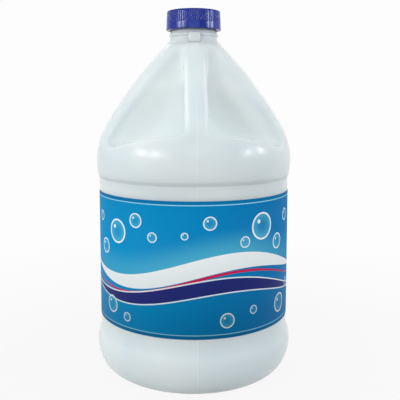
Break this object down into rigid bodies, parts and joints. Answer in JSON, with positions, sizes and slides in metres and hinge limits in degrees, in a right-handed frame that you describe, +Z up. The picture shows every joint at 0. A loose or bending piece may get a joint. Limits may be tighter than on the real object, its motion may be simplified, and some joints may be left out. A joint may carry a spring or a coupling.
{
  "type": "bleach bottle",
  "caption": "Large blow-moulded household bottle with an integral hollow handle, a ribbed screw cap and a wrapped front label.",
  "frame": {"origin": "centre of the standing ring's flat face, under the middle of the bottle", "axes": "+Z up along the neck, -Y the front with the handle and the label, +X to the right seen from the front"},
  "size_m": [0.157, 0.157, 0.2851],
  "materials": {
    "bottle": "semi-gloss cool white HDPE",
    "cap": "glossy royal blue polypropylene",
    "liner": "white foam",
    "label": "smooth printed film in blues"
  },
  "bodies": {
    "bottle": {"bottle": "bottle", "front_label": "label"},
    "liner": {"cap_liner": "liner"},
    "cap": {"cap": "cap"}
  },
  "joints": [
    {"name": "cap_lift", "type": "slide", "parent": "bottle", "child": "liner", "axis": [0, 0, 1], "range_m": [0, 0.0053]},
    {"name": "cap_turn", "type": "hinge", "parent": "liner", "child": "cap", "pos_m": [0, 0, 0.2702], "axis": [0, 0, 1], "range_deg": [0, 450]}
  ],
  "couplings": [
    {"joint": "cap_lift", "follows": "cap_turn", "m_per_rad": 0.0006737}
  ]
}
